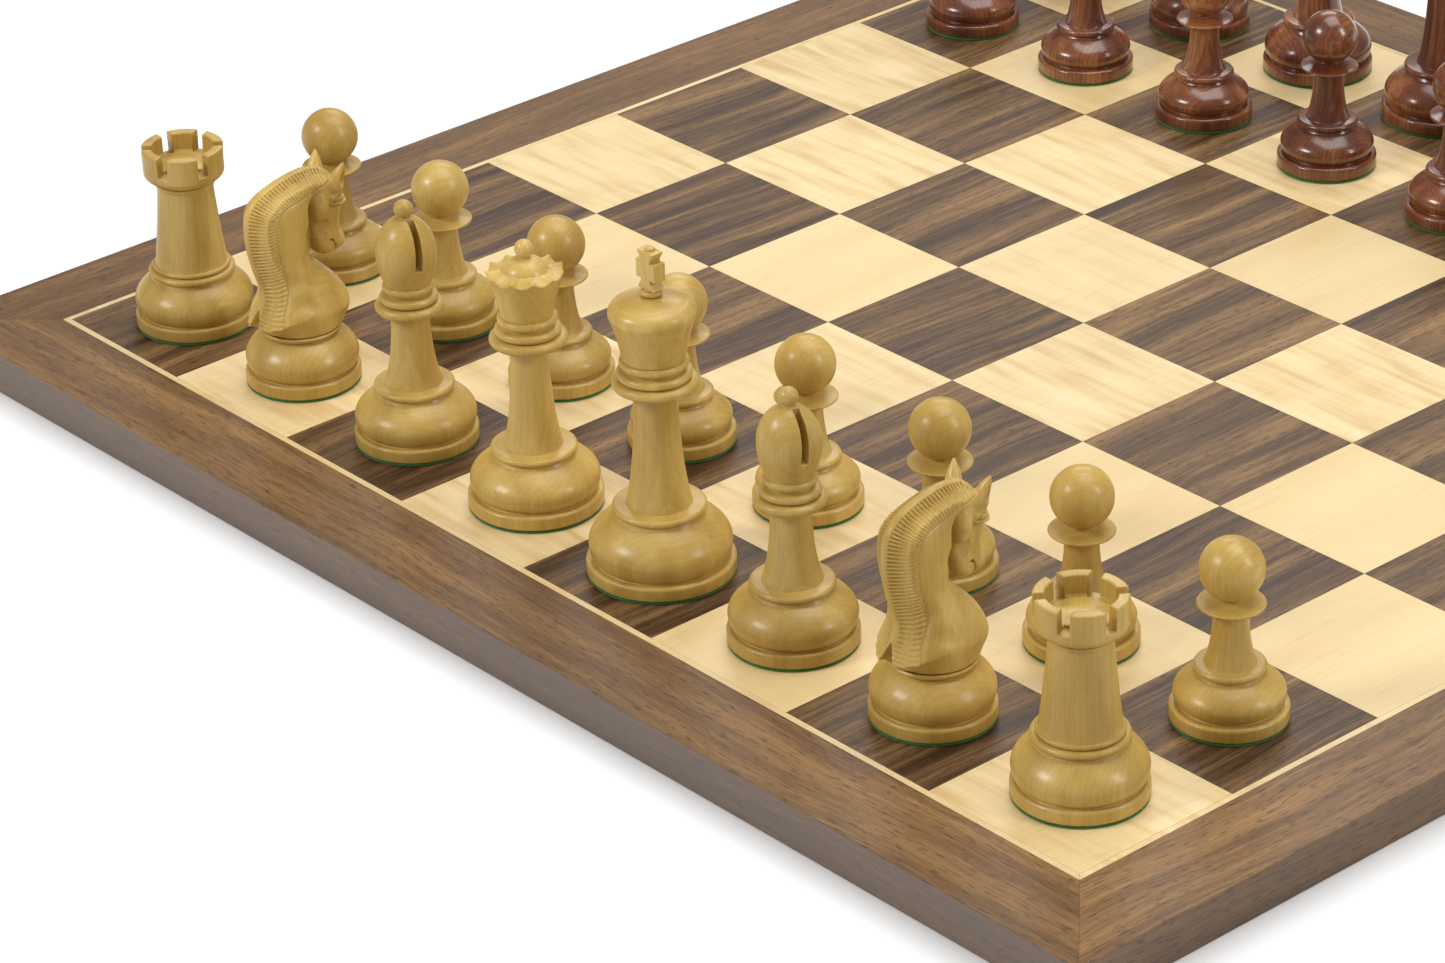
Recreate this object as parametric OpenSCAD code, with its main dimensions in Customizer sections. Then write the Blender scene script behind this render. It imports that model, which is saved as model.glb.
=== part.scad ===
// Chess set: a veneered board and its thirty-two weighted, felted pieces in the starting position.
// Millimetres. Origin at the centre of the board's underside, +Z up,
// +Y from the light army towards the dark army, +X from file a to file h.

/* [Board] */
// Side of one playing square
square = 55; // [46:1:66]
// Width of the pale line inlaid round the squares
line_w = 2; // [1:0.5:4]
// Width of the border between the line and the board's edge
border_w = 28; // [16:1:60]
// Thickness of the core panel
core_t = 12.2; // [8:0.2:20]
// Thickness of the face and backing veneers
veneer_t = 0.6; // [0.4:0.1:1.5]
// Thickness of the veneer on the board's four edges
edge_t = 0.6; // [0.4:0.1:1.5]
// Glue line between neighbouring veneers
joint_gap = 0.1; // [0.05:0.05:0.3]

/* [Foot shared by every piece] */
// Thickness of the baize pad under a piece
pad_t = 0.8; // [0.4:0.1:2]
// How far the pad stays inside the plinth's edge
pad_inset = 0.4; // [0.2:0.1:1.5]
// Height of the plinth disc
plinth_h = 4.1; // [3:0.1:6]
// Height of the cut between the plinth and the bulb
groove_h = 0.7; // [0.4:0.1:1.2]
// Depth of the cut between the plinth and the bulb
groove_d = 1.3; // [0.6:0.1:2]
// Thickness of the ledge on top of the foot
ledge_t = 2; // [1.2:0.1:3]
// Height of the bulb between the groove and the ledge on a pawn
pawn_bulb_h = 9.2; // [7:0.2:14]
// Height of the bulb between the groove and the ledge on an officer
bulb_h = 11.4; // [9:0.2:16]
// Height of the bulb between the groove and the ledge on a king
king_bulb_h = 13.8; // [11:0.2:19]
// Diameter of the lead slug as a share of the plinth's diameter
slug_share = 0.48; // [0.3:0.02:0.5]
// Length of the lead slug
slug_h = 8; // [4:0.5:10]
// Glue gap round the slug and above the pad
glue_gap = 0.1; // [0.05:0.05:0.3]

/* [Pawn] */
// Diameter of the plinth
pawn_base = 32; // [26:0.5:39]
// How far the bulb's widest ring stays inside the plinth's edge
pawn_bulb_in = 1; // [0.4:0.1:3]
// Diameter of the ledge
pawn_ledge = 19.6; // [16:0.1:24]
// Diameter at the narrowest part of the stem
pawn_stem = 9.4; // [8:0.2:12]
// Height of the stem
pawn_stem_h = 15.8; // [12:0.1:22]
// Diameter of the collar under the head
pawn_collar = 18.4; // [15:0.1:22]
// Diameter of the ball head
pawn_head = 17.5; // [14:0.5:21]

/* [Rook] */
// Diameter of the plinth
rook_base = 36.5; // [30:0.5:43]
// How far the bulb's widest ring stays inside the plinth's edge
rook_bulb_in = 0.2; // [0:0.1:2.5]
// Diameter of the ledge
rook_ledge = 26.4; // [22:0.1:32]
// Diameter of the body just above the ledge
rook_body = 21.8; // [19:0.1:27]
// Diameter of the body under the turret
rook_waist = 17; // [15:0.5:20]
// Height of the body between the ledge and the turret
rook_body_h = 26.4; // [20:0.1:32]
// Diameter of the turret
rook_turret = 25; // [20.8:0.2:30]
// Height of the turret's wall
rook_turret_h = 8.2; // [6.5:0.1:10.5]
// Thickness of the turret's wall
rook_wall = 3.2; // [2.4:0.2:4]
// Number of battlements
rook_merlons = 6; // [4:1:8]
// Width of the cuts between the battlements
rook_slot = 3.6; // [2.4:0.2:5]
// Turn of the first cut from the +X axis
rook_turn = -6; // [-30:1:30]
// Depth of the cuts between the battlements
rook_slot_h = 6.6; // [5:0.2:7]

/* [Knight] */
// Diameter of the plinth
knight_base = 34.6; // [29:0.1:42]
// How far the bulb's widest ring stays inside the plinth's edge
knight_bulb_in = 0.3; // [0:0.1:2.5]
// Diameter of the seat that the carved head stands on
knight_seat = 24.8; // [20.8:0.2:29.8]
// Height of the carved head above its seat
knight_head_h = 49.8; // [41.4:0.2:60]
// Thickness of the carved head across its chest
knight_chest_w = 24; // [20:0.5:28]
// Thickness of the carved head across its ears
knight_head_w = 14; // [12:0.5:17]

/* [Bishop] */
// Diameter of the plinth
bishop_base = 36.5; // [30:0.5:43]
// How far the bulb's widest ring stays inside the plinth's edge
bishop_bulb_in = 0.4; // [0:0.1:2.5]
// Diameter of the ledge
bishop_ledge = 23.8; // [20:0.1:29]
// Diameter at the narrowest part of the stem
bishop_stem = 11.4; // [9.5:0.1:14]
// Height of the stem
bishop_stem_h = 21; // [18:0.5:28]
// Diameter of the large collar
bishop_collar = 20.2; // [17:0.1:24]
// Diameter of the mitre
bishop_mitre = 17.8; // [15:0.2:21]
// Height of the mitre
bishop_mitre_h = 20.8; // [17:0.2:25]
// Width of the cut in the mitre
bishop_cut_w = 1.6; // [1.2:0.1:2.6]
// Turn of the cut from the +X axis
bishop_cut_turn = -12; // [-30:1:30]
// Diameter of the ball on the mitre
bishop_ball = 6; // [5:0.2:7.2]

/* [Queen] */
// Diameter of the plinth
queen_base = 39; // [32:0.5:46]
// How far the bulb's widest ring stays inside the plinth's edge
queen_bulb_in = 0.8; // [0.2:0.1:3]
// Diameter of the ledge
queen_ledge = 25; // [21:0.5:30]
// Diameter at the narrowest part of the stem
queen_stem = 11; // [9.5:0.1:13.5]
// Height of the stem
queen_stem_h = 30; // [24:0.5:36]
// Diameter of the large collar
queen_collar = 22.4; // [19:0.1:27]
// Diameter of the coronet's rim
queen_rim = 22.6; // [18.6:0.5:26.6]
// Height of the coronet
queen_crown_h = 13.6; // [11:0.2:16.4]
// Number of scallops in the coronet's rim
queen_scallops = 11; // [8:1:14]
// Diameter of the ball on the queen
queen_ball = 5.4; // [4.4:0.2:6.4]

/* [King] */
// Diameter of the plinth
king_base = 42; // [35:0.5:50]
// How far the bulb's widest ring stays inside the plinth's edge
king_bulb_in = 0.9; // [0.2:0.1:3.2]
// Diameter of the ledge
king_ledge = 26.6; // [22:0.1:32]
// Diameter at the narrowest part of the stem
king_stem = 12.4; // [10.5:0.1:15]
// Height of the stem
king_stem_h = 33.7; // [27:0.1:39]
// Diameter of the large collar
king_collar = 24; // [20:0.5:29]
// Diameter of the crown
king_crown = 24.5; // [20.5:0.5:29]
// Height of the crown
king_crown_h = 18.8; // [15:0.2:22.2]
// Width of the cross
cross_w = 8; // [7:0.2:10.2]
// Thickness of the cross
cross_t = 3.8; // [3.2:0.2:5]
// Height of the cross above its bead
cross_h = 10.4; // [9:0.1:13]
// Diameter of the peg that holds the cross
peg_d = 2.4; // [1.8:0.1:3]
// Clearance round the peg
peg_gap = 0.05; // [0.02:0.01:0.1]

/* [Hidden] */
$fn = 96;
// Steps in each curve of a turned outline
curve_n = 6;
// Smallest overlap that makes two shapes of one solid join
bite = 0.2;

board_top = veneer_t + core_t + veneer_t;
field = 8 * square;
line_out = field + 2 * line_w;
core_w = line_out + 2 * border_w - 2 * edge_t;
board_w = core_w + 2 * edge_t;

// Heights shared by every foot, measured from the square
wood_z = pad_t + glue_gap;
plinth_z = wood_z + plinth_h;
bulb_z = plinth_z + groove_h;
officer_z = bulb_z + bulb_h + ledge_t;
pawn_z = bulb_z + pawn_bulb_h + ledge_t;
king_z = bulb_z + king_bulb_h + ledge_t;

// Collar rings of the tall pieces: large disc, middle bead, top bead
flare_h = 2.2;
disc_h = 2.8;
bead_h = 2.4;
cut_h = 0.2;
cove_h = 1;
collar_h = flare_h + disc_h + cut_h + bead_h + cove_h + bead_h;

// Length of the peg under the cross
peg_h = 5;

// The carved head of a knight is glued to a cup on its foot and held by a spigot
cup_h = 1.5;
spigot_d = 8;
spigot_h = 3.4;
knight_z = bulb_z + bulb_h + cup_h;

files = ["a", "b", "c", "d", "e", "f", "g", "h"];
officers = ["rook", "knight", "bishop", "queen", "king", "bishop", "knight", "rook"];
// Each man: army, kind, file from 0, rank from 0
men = concat(
    [for (f = [0 : 7]) ["white", officers[f], f, 0]],
    [for (f = [0 : 7]) ["white", "pawn", f, 1]],
    [for (f = [0 : 7]) ["black", "pawn", f, 6]],
    [for (f = [0 : 7]) ["black", officers[f], f, 7]]
);
function man_name(m) = str(m[0], "_", m[1], "_", files[m[2]], m[3] + 1);
function is_kind(m, kind) = m[1] == kind;

sides = ["front", "right", "back", "left"];

// ---------- outlines ----------

// Cubic curve from a to d with handles b and c
function bow(a, b, c, d, n = curve_n) = [for (i = [0 : n])
    let (t = i / n, s = 1 - t)
    s * s * s * a + 3 * s * s * t * b + 3 * s * t * t * c + t * t * t * d];

// Half-round rim of height h whose outermost radius is r
function rim(r, z, h, n = curve_n) = [for (i = [0 : n])
    let (a = -90 + 180 * i / n)
    [r - h / 2 + h / 2 * cos(a), z + h / 2 + h / 2 * sin(a)]];

// Arc round (r, z)
function arc(r, z, radius, from, to, n = curve_n) = [for (i = [0 : n])
    let (a = from + (to - from) * i / n)
    [r + radius * cos(a), z + radius * sin(a)]];

// Plinth, groove and bulb, from the axis at the bottom to the neck under the ledge
function foot(base, bulb_in, neck_d, h) =
    let (r = base / 2, ease = 0.35, soft = 1, bulb_r = r - bulb_in, in_r = bulb_r - groove_d,
         belly = bulb_z + 0.3 * h, neck = neck_d / 2, top = bulb_z + h)
    concat(
        [[0, wood_z], [r - ease, wood_z], [r, wood_z + ease]],
        arc(r - soft, plinth_z - soft, soft, 0, 90, 4),
        [[in_r, plinth_z], [in_r, bulb_z]],
        bow([in_r + 0.2, bulb_z], [bulb_r - 0.3, bulb_z + 0.4], [bulb_r, belly - 0.1 * h],
            [bulb_r, belly], 4),
        bow([bulb_r, belly], [bulb_r, belly + 0.27 * h], [neck + 0.42 * (bulb_r - neck), top - 0.2 * h],
            [neck + 0.1 * (bulb_r - neck), top - 0.09 * h], 8)
    );

// Ledge and tapering stem up to radius stem_d / 2
function ledge_and_stem(ledge_d, stem_d, z, h) =
    let (r = ledge_d / 2, foot_r = 0.4 * stem_d + 0.3 * r + 0.35, top_r = stem_d / 2)
    concat(
        rim(r, z - ledge_t, ledge_t, 4),
        bow([foot_r, z + 0.1], [top_r + 0.42 * (foot_r - top_r), z + 0.2 * h],
            [top_r, z + 0.6 * h], [top_r, z + h], 8)
    );

// Flare, large disc and two beads, starting at height z on a stem
function collars(stem_d, disc_d, bead2_d, bead1_d, z) =
    let (z1 = z + flare_h, z2 = z1 + disc_h + cut_h, z3 = z2 + bead_h + cove_h)
    concat(
        [[stem_d / 2 + 0.4, z + 0.5 * flare_h]],
        rim(disc_d / 2, z1, disc_h),
        [[bead2_d / 2 - 1, z2 - cut_h / 2]],
        rim(bead2_d / 2, z2, bead_h),
        [[bead1_d / 2 - 1.3, z3 - 0.7 * cove_h], [bead1_d / 2 - 1.3, z3 - 0.3 * cove_h]],
        rim(bead1_d / 2, z3, bead_h)
    );

module turned(points) {
    rotate_extrude() polygon(points);
}

// Pocket for the lead slug, drilled up from the bottom of the wood
module slug_pocket(base) {
    translate([0, 0, wood_z - 1])
        cylinder(d = base * slug_share + 2 * glue_gap, h = slug_h + 1 + glue_gap);
}

// The lead slug and the baize pad, kept clear of the wood by the glue
module slug_and_pad(base) {
    translate([0, 0, wood_z]) cylinder(d = base * slug_share, h = slug_h);
    cylinder(d = base - 2 * pad_inset, h = pad_t);
}

// ---------- the men, each standing on z = 0 and facing +Y ----------

module pawn() {
    collar_z = pawn_z + pawn_stem_h;
    collar_r = pawn_collar / 2;
    lip = 0.8;
    neck_r = pawn_head * 0.235;
    neck_z = collar_z + 4.1;
    head_r = pawn_head / 2;
    head_z = neck_z + sqrt(head_r * head_r - neck_r * neck_r);
    lower = atan2(neck_z - head_z, neck_r);
    difference() {
        turned(concat(
            foot(pawn_base, pawn_bulb_in, pawn_ledge - 2.4, pawn_bulb_h),
            ledge_and_stem(pawn_ledge, pawn_stem, pawn_z, pawn_stem_h),
            bow([pawn_stem / 2, collar_z], [pawn_stem / 2 + 0.2, collar_z + 0.8],
                [collar_r - 2.5, collar_z + 1], [collar_r - 0.5, collar_z + 1.3], 4),
            rim(collar_r, collar_z + 1.4, lip, 4),
            bow([collar_r - 0.6, collar_z + 2.2], [collar_r - 2, collar_z + 2.5],
                [neck_r + 1.2, collar_z + 3], [neck_r, neck_z], 4),
            arc(0, head_z, head_r, lower, 90, 16)
        ));
        slug_pocket(pawn_base);
    }
    slug_and_pad(pawn_base);
}

module rook() {
    step_h = 1.5;
    flare = 2.9;
    hollow_h = 5.6;
    body_z = officer_z + step_h + 0.7;
    turret_z = body_z + rook_body_h;
    wall_z = turret_z + flare;
    top_z = wall_z + rook_turret_h;
    turret_r = rook_turret / 2;
    body_r = rook_body / 2;
    waist_r = rook_waist / 2;
    hollow_r = turret_r - rook_wall;
    floor_z = top_z - hollow_h;
    difference() {
        turned(concat(
            foot(rook_base, rook_bulb_in, rook_ledge - 2.2, bulb_h),
            rim(rook_ledge / 2, officer_z - ledge_t, ledge_t, 4),
            rim(body_r + 1, officer_z + 0.1, step_h, 4),
            bow([body_r, body_z], [body_r - 1, body_z + 0.3 * rook_body_h],
                [waist_r + 0.3, turret_z - 0.3 * rook_body_h], [waist_r, turret_z - 1.4], 8),
            [[waist_r + 0.5, turret_z - 1.3], [waist_r + 0.5, turret_z - 0.2]],
            bow([waist_r + 0.7, turret_z], [waist_r + 1.4, turret_z + 1.3],
                [turret_r - 0.6, wall_z - 1.2], [turret_r - 0.2, wall_z], 5),
            [[turret_r, top_z - 0.4], [turret_r - 0.4, top_z],
             [hollow_r + 0.3, top_z], [hollow_r, top_z - 0.3], [hollow_r - 0.4, floor_z],
             [0.5 * hollow_r, floor_z + 0.8], [0, floor_z + 1.1]]
        ));
        slug_pocket(rook_base);
        for (i = [0 : rook_merlons - 1])
            rotate(rook_turn + i * 360 / rook_merlons)
                translate([hollow_r - 1.5, -rook_slot / 2, top_z - rook_slot_h])
                    cube([rook_wall + 3, rook_slot, rook_slot_h + 1]);
    }
    slug_and_pad(rook_base);
}

module knight() {
    seat_r = knight_seat / 2;
    difference() {
        turned(concat(
            foot(knight_base, knight_bulb_in, knight_seat - 2.2, bulb_h),
            [[seat_r - 1.6, knight_z - cup_h - 0.7], [seat_r, knight_z - 0.8 * cup_h],
             [seat_r, knight_z - 0.2], [seat_r - 0.2, knight_z], [0, knight_z]]
        ));
        slug_pocket(knight_base);
        translate([0, 0, knight_z - spigot_h - glue_gap])
            cylinder(d = spigot_d + 2 * peg_gap, h = spigot_h + 2);
    }
    slug_and_pad(knight_base);
}

// The carved head is drawn in (y, z) above its seat for this base and height, then scaled
drawn_base = 34.6;
drawn_head_h = 51;
function drawn(points) = [for (p = points)
    [p[0] * knight_base / drawn_base, p[1] * knight_head_h / drawn_head_h]];

// Forehead, face, chin, throat and chest, from the poll down to the front of the seat
function face_and_chest() = concat(
    bow([9, 48.6], [12.6, 48], [15, 45], [15.7, 39], 5),
    bow([15, 35.5], [14, 32], [14, 30], [14.9, 27.4], 4),
    bow([14.8, 25.6], [13.6, 23.4], [11.4, 22.2], [8.6, 22.6], 4),
    [[4.2, 26.4], [2.4, 28]],
    bow([1.2, 25.6], [2.6, 21.5], [8, 19.4], [11.6, 15.8], 5),
    bow([11.6, 15.8], [15.6, 11.8], [16, 5], [11.8, 0], 6)
);

// Back of the neck along the crest of the mane, from the seat up to the poll
function crest() = concat(
    [[-11.8, 0], [-15, 2.6]],
    bow([-15.4, 3.2], [-12.4, 5.2], [-11, 8.6], [-11.2, 11.5], 4),
    bow([-11.2, 11.5], [-11.8, 16.5], [-14.6, 22], [-15.6, 29], 5),
    bow([-15.6, 29], [-16.9, 38], [-16, 46], [-6.5, 49.4], 6),
    bow([-6.5, 49.4], [-2, 51], [3, 51], [7, 49.6], 4)
);

// Back of the neck below the mane
function nape() = concat(
    [[-11, 0]],
    bow([-10, 4], [-7, 12], [-10, 18], [-12.4, 27], 6),
    bow([-12.4, 27], [-14.6, 36], [-11, 45], [0, 47.5], 6)
);

// Plate of thickness w with the side outline of the head
module plate(points, w) {
    rotate([90, 0, 90]) translate([0, 0, -w / 2]) linear_extrude(w) polygon(drawn(points));
}

module knight_head() {
    h = knight_head_h;
    chest_r = knight_chest_w / 2;
    neck_r = knight_head_w / 2;
    crest_w = 0.36 * knight_head_w;
    ear_h = 7;
    ear_out = 0.36 * knight_head_w;
    ear_y = 0.4 * knight_base;
    translate([0, 0, knight_z]) {
        plate(concat(crest(), face_and_chest()), crest_w);
        plate(concat(nape(), face_and_chest()), knight_head_w);
        intersection() {
            plate(concat(crest(), face_and_chest()), 2 * chest_r);
            scale([1, 1.35, 1]) turned(concat(
                [[0, 0], [0.94 * chest_r, 0]],
                bow([chest_r, 0.08 * h], [chest_r, 0.24 * h], [neck_r + 1, 0.34 * h], [neck_r, 0.48 * h], 6),
                [[0, 0.48 * h]]
            ));
        }
        for (side = [-1, 1])
            translate([side * ear_out, ear_y, h - ear_h]) rotate([-8, 8 * side, 0])
                cylinder(r1 = 2.6, r2 = 0.7, h = ear_h);
        translate([0, 0, -spigot_h]) cylinder(d = spigot_d, h = spigot_h + bite);
    }
}

module bishop() {
    stem_z = officer_z + bishop_stem_h;
    mitre_z = stem_z + collar_h;
    r = bishop_mitre / 2;
    foot_r = r - 1.8;
    ball_r = bishop_ball / 2;
    neck_r = ball_r * 0.56;
    top_z = mitre_z + bishop_mitre_h;
    wide_z = mitre_z + 0.46 * bishop_mitre_h;
    cut_tilt = 4;
    ball_z = top_z + ball_r * 0.8;
    difference() {
        turned(concat(
            foot(bishop_base, bishop_bulb_in, bishop_ledge - 2.2, bulb_h),
            ledge_and_stem(bishop_ledge, bishop_stem, officer_z, bishop_stem_h),
            collars(bishop_stem, bishop_collar, bishop_mitre - 0.8, bishop_mitre - 2.6, stem_z),
            [[foot_r - 0.4, mitre_z]],
            bow([foot_r, mitre_z + 0.4], [foot_r + 0.9, mitre_z + 2], [r, wide_z - 3.4], [r, wide_z], 6),
            bow([r, wide_z], [r, wide_z + 0.28 * bishop_mitre_h],
                [0.62 * r, top_z - 0.08 * bishop_mitre_h], [neck_r, top_z], 8),
            arc(0, ball_z, ball_r, -50, 90, 8)
        ));
        slug_pocket(bishop_base);
        rotate(bishop_cut_turn) translate([neck_r + 0.4, 0, wide_z]) rotate([-cut_tilt, 0, 0])
            translate([0, -bishop_cut_w / 2, -0.16 * bishop_mitre_h])
                cube([r, bishop_cut_w, 0.7 * bishop_mitre_h]);
    }
    slug_and_pad(bishop_base);
}

module queen() {
    stem_z = officer_z + queen_stem_h;
    crown_z = stem_z + collar_h;
    rim_z = crown_z + queen_crown_h;
    rim_r = queen_rim / 2;
    foot_r = 0.66 * rim_r;
    dome_r = 0.58 * rim_r;
    ball_r = queen_ball / 2;
    dome_z = rim_z + 4.2;
    ball_z = dome_z + 0.7 * ball_r;
    bite_r = rim_r * sin(180 / queen_scallops) * 0.98;
    difference() {
        turned(concat(
            foot(queen_base, queen_bulb_in, queen_ledge - 2.2, bulb_h),
            ledge_and_stem(queen_ledge, queen_stem, officer_z, queen_stem_h),
            collars(queen_stem, queen_collar, 2 * foot_r + 4, 2 * foot_r + 2.2, stem_z),
            [[foot_r - 0.4, crown_z]],
            bow([foot_r, crown_z + 0.3], [foot_r + 0.6, crown_z + 4],
                [rim_r - 1.6, rim_z - 3.6], [rim_r, rim_z], 6),
            [[dome_r + 0.6, rim_z - 1.2]],
            bow([dome_r, rim_z - 1], [dome_r - 0.3, rim_z + 2.2], [0.5 * dome_r, dome_z - 0.6],
                [0.7 * ball_r, dome_z], 6),
            arc(0, ball_z, ball_r, -45, 90, 8)
        ));
        slug_pocket(queen_base);
        for (i = [0 : queen_scallops - 1])
            rotate((i + 0.5) * 360 / queen_scallops)
                translate([dome_r + 1.4, 0, rim_z + 0.45 * bite_r]) rotate([0, 108, 0])
                    cylinder(r = bite_r, h = rim_r);
    }
    slug_and_pad(queen_base);
}

module king() {
    stem_z = king_z + king_stem_h;
    crown_z = stem_z + collar_h;
    r = king_crown / 2;
    foot_r = 0.73 * r;
    soft = 3.4;
    dome = 1.9;
    rim_z = crown_z + king_crown_h - dome - soft;
    difference() {
        turned(concat(
            foot(king_base, king_bulb_in, king_ledge - 2.2, king_bulb_h),
            ledge_and_stem(king_ledge, king_stem, king_z, king_stem_h),
            collars(king_stem, king_collar, 2 * foot_r + 3.4, 2 * foot_r + 1.6, stem_z),
            [[foot_r - 0.4, crown_z]],
            bow([foot_r, crown_z + 0.3], [foot_r + 0.5, crown_z + 4],
                [r - 1.6, rim_z - 4.4], [r, rim_z - 0.4], 6),
            arc(r - soft, rim_z, soft, 5, 80, 5),
            bow([r - soft - 0.2, rim_z + soft], [0.55 * r, rim_z + soft + 0.6 * dome],
                [0.3 * r, rim_z + soft + dome], [0, rim_z + soft + dome], 5)
        ));
        slug_pocket(king_base);
        translate([0, 0, crown_z + king_crown_h - peg_h - glue_gap])
            cylinder(d = peg_d + 2 * peg_gap, h = peg_h + 2);
    }
    slug_and_pad(king_base);
}

function king_top() = king_z + king_stem_h + collar_h + king_crown_h;

// Outline of one quarter of the cross, mirrored into four arms that widen outwards
module cross_face() {
    half_w = cross_w / 2;
    half_h = cross_h / 2;
    arm = cross_w / 3;
    notch = 0.2 * cross_w;
    for (sx = [0, 1], sz = [0, 1])
        mirror([sx, 0]) mirror([0, sz])
            polygon([[-bite, -bite], [half_w, -bite], [half_w, arm], [notch, notch + 0.5],
                     [arm, half_h], [-bite, half_h]]);
}

module king_cross() {
    bead_t = 1.8;
    bead_r = 0.36 * cross_w;
    button_r = 0.2 * cross_w;
    button_t = 1.3;
    base_z = king_top();
    mid_z = base_z + bead_t + cross_h / 2 - bite;
    translate([0, 0, base_z]) turned(concat(
        [[0, -peg_h], [peg_d / 2, -peg_h], [peg_d / 2, 0]],
        [[bead_r - bead_t / 2, 0]],
        rim(bead_r, 0.01, bead_t, 6),
        [[0, bead_t]]
    ));
    translate([0, cross_t / 2, mid_z]) rotate([90, 0, 0]) linear_extrude(cross_t) cross_face();
    translate([0, 0, mid_z + cross_h / 2 - bite]) turned(concat(
        [[0, 0]], rim(button_r, 0, button_t + bite, 6), [[0, button_t + bite]]));
}

// ---------- placing the men ----------

function file_x(f) = (f - 3.5) * square;
function rank_y(k) = (k - 3.5) * square;
function wood(m) = m[0] == "white" ? "burlywood" : "sienna";

module stand(m) {
    translate([file_x(m[2]), rank_y(m[3]), board_top])
        rotate(m[0] == "white" ? 0 : 180) color(wood(m)) children();
}

module man(m) {
    stand(m) {
        if (is_kind(m, "pawn")) pawn();
        if (is_kind(m, "rook")) rook();
        if (is_kind(m, "knight")) knight();
        if (is_kind(m, "bishop")) bishop();
        if (is_kind(m, "queen")) queen();
        if (is_kind(m, "king")) king();
    }
}

// ---------- the board ----------

module board_core() {
    color("tan") translate([-core_w / 2, -core_w / 2, veneer_t]) cube([core_w, core_w, core_t]);
}

module backing_veneer() {
    color("saddlebrown") translate([-core_w / 2, -core_w / 2, 0]) cube([core_w, core_w, veneer_t]);
}

// Every second square, starting with odd = 0 for the dark squares (a1 is dark)
module squares(odd) {
    side = square - joint_gap;
    for (f = [0 : 7], k = [0 : 7])
        if ((f + k) % 2 == odd)
            translate([file_x(f) - side / 2, rank_y(k) - side / 2, board_top - veneer_t])
                cube([side, side, veneer_t]);
}

module walnut_squares() {
    color("saddlebrown") squares(0);
}

module maple_squares() {
    color("wheat") squares(1);
}

// Mitred strip along the front between half-widths inner and outer, low z and height h
module strip(inner, outer, z, h) {
    gap = joint_gap / 2;
    translate([0, 0, z]) linear_extrude(h)
        polygon([[-outer + gap, -outer], [outer - gap, -outer], [inner - gap, -inner], [-inner + gap, -inner]]);
}

module inlaid_line() {
    color("wheat") for (i = [0 : 3])
        rotate(i * 90) strip(field / 2 + joint_gap / 2, line_out / 2 - joint_gap / 2,
                             board_top - veneer_t, veneer_t);
}

module border(i) {
    color("saddlebrown") rotate(i * 90)
        strip(line_out / 2 + joint_gap / 2, board_w / 2, board_top - veneer_t, veneer_t);
}

module edge(i) {
    color("sienna") rotate(i * 90) strip(core_w / 2, board_w / 2, 0, board_top - veneer_t);
}

board_core();
backing_veneer();
walnut_squares();
maple_squares();
inlaid_line();
for (i = [0 : 3]) border(i);
for (i = [0 : 3]) edge(i);
for (m = men) man(m);
for (m = men) if (is_kind(m, "knight"))
    stand(m) knight_head();
for (m = men) if (is_kind(m, "king"))
    stand(m) king_cross();
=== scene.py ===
import math

import bpy
import numpy as np
from mathutils import Matrix


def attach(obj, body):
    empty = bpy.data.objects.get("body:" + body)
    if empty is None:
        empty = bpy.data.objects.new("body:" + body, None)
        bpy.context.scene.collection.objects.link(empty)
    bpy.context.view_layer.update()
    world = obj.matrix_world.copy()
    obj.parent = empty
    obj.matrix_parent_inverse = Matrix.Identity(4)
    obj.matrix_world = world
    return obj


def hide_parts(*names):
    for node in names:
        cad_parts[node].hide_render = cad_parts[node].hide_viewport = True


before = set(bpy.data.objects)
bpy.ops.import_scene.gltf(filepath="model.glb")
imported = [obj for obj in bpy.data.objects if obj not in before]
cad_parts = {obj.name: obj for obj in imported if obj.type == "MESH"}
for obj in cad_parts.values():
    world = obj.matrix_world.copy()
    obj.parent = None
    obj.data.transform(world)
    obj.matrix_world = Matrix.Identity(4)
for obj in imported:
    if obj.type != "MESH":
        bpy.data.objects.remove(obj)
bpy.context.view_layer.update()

MM = 0.001
# Side of a square and height of the board's face, in mm
SQUARE = 55.0
TOP = 13.4
FILES = "abcdefgh"
OFFICERS = ["rook", "knight", "bishop", "queen", "king", "bishop", "knight", "rook"]


# ---------- outlines of the turned pieces: (radius, height above the square) in mm ----------

def bow(a, b, c, d, n=14):
    """Cubic curve from a to d, drawn towards b and c."""
    t = np.linspace(0, 1, n + 1)[:, None]
    a, b, c, d = (np.array(p, float) for p in (a, b, c, d))
    return (1 - t) ** 3 * a + 3 * (1 - t) ** 2 * t * b + 3 * (1 - t) * t * t * c + t ** 3 * d


def arc(r, z, radius, start, end, n=12):
    """Part of a circle round (r, z), between two angles in degrees."""
    a = np.radians(np.linspace(start, end, n + 1))
    return np.c_[r + radius * np.cos(a), z + radius * np.sin(a)]


def rim(r, z, h, n=12):
    """Half-round edge of a disc that is h thick and stands on height z."""
    return arc(r - h / 2, z + h / 2, h / 2, -90, 90, n)


def dots(*points):
    return np.array(points, float)


# Underside of the wood, top of the plinth and start of the bulb
WOOD_Z, PLINTH_Z, BULB_Z = 0.85, 5.0, 5.7
PAWN_BULB_H, BULB_H, KING_BULB_H = 9.2, 11.4, 13.8
# Thickness of the ledge on the foot, and of the cup that a knight's head stands in
LEDGE, CUP_H = 2.0, 1.5
PAWN_Z = BULB_Z + PAWN_BULB_H + LEDGE
OFFICER_Z = BULB_Z + BULB_H + LEDGE
KING_Z = BULB_Z + KING_BULB_H + LEDGE
KNIGHT_Z = BULB_Z + BULB_H + CUP_H
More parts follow.
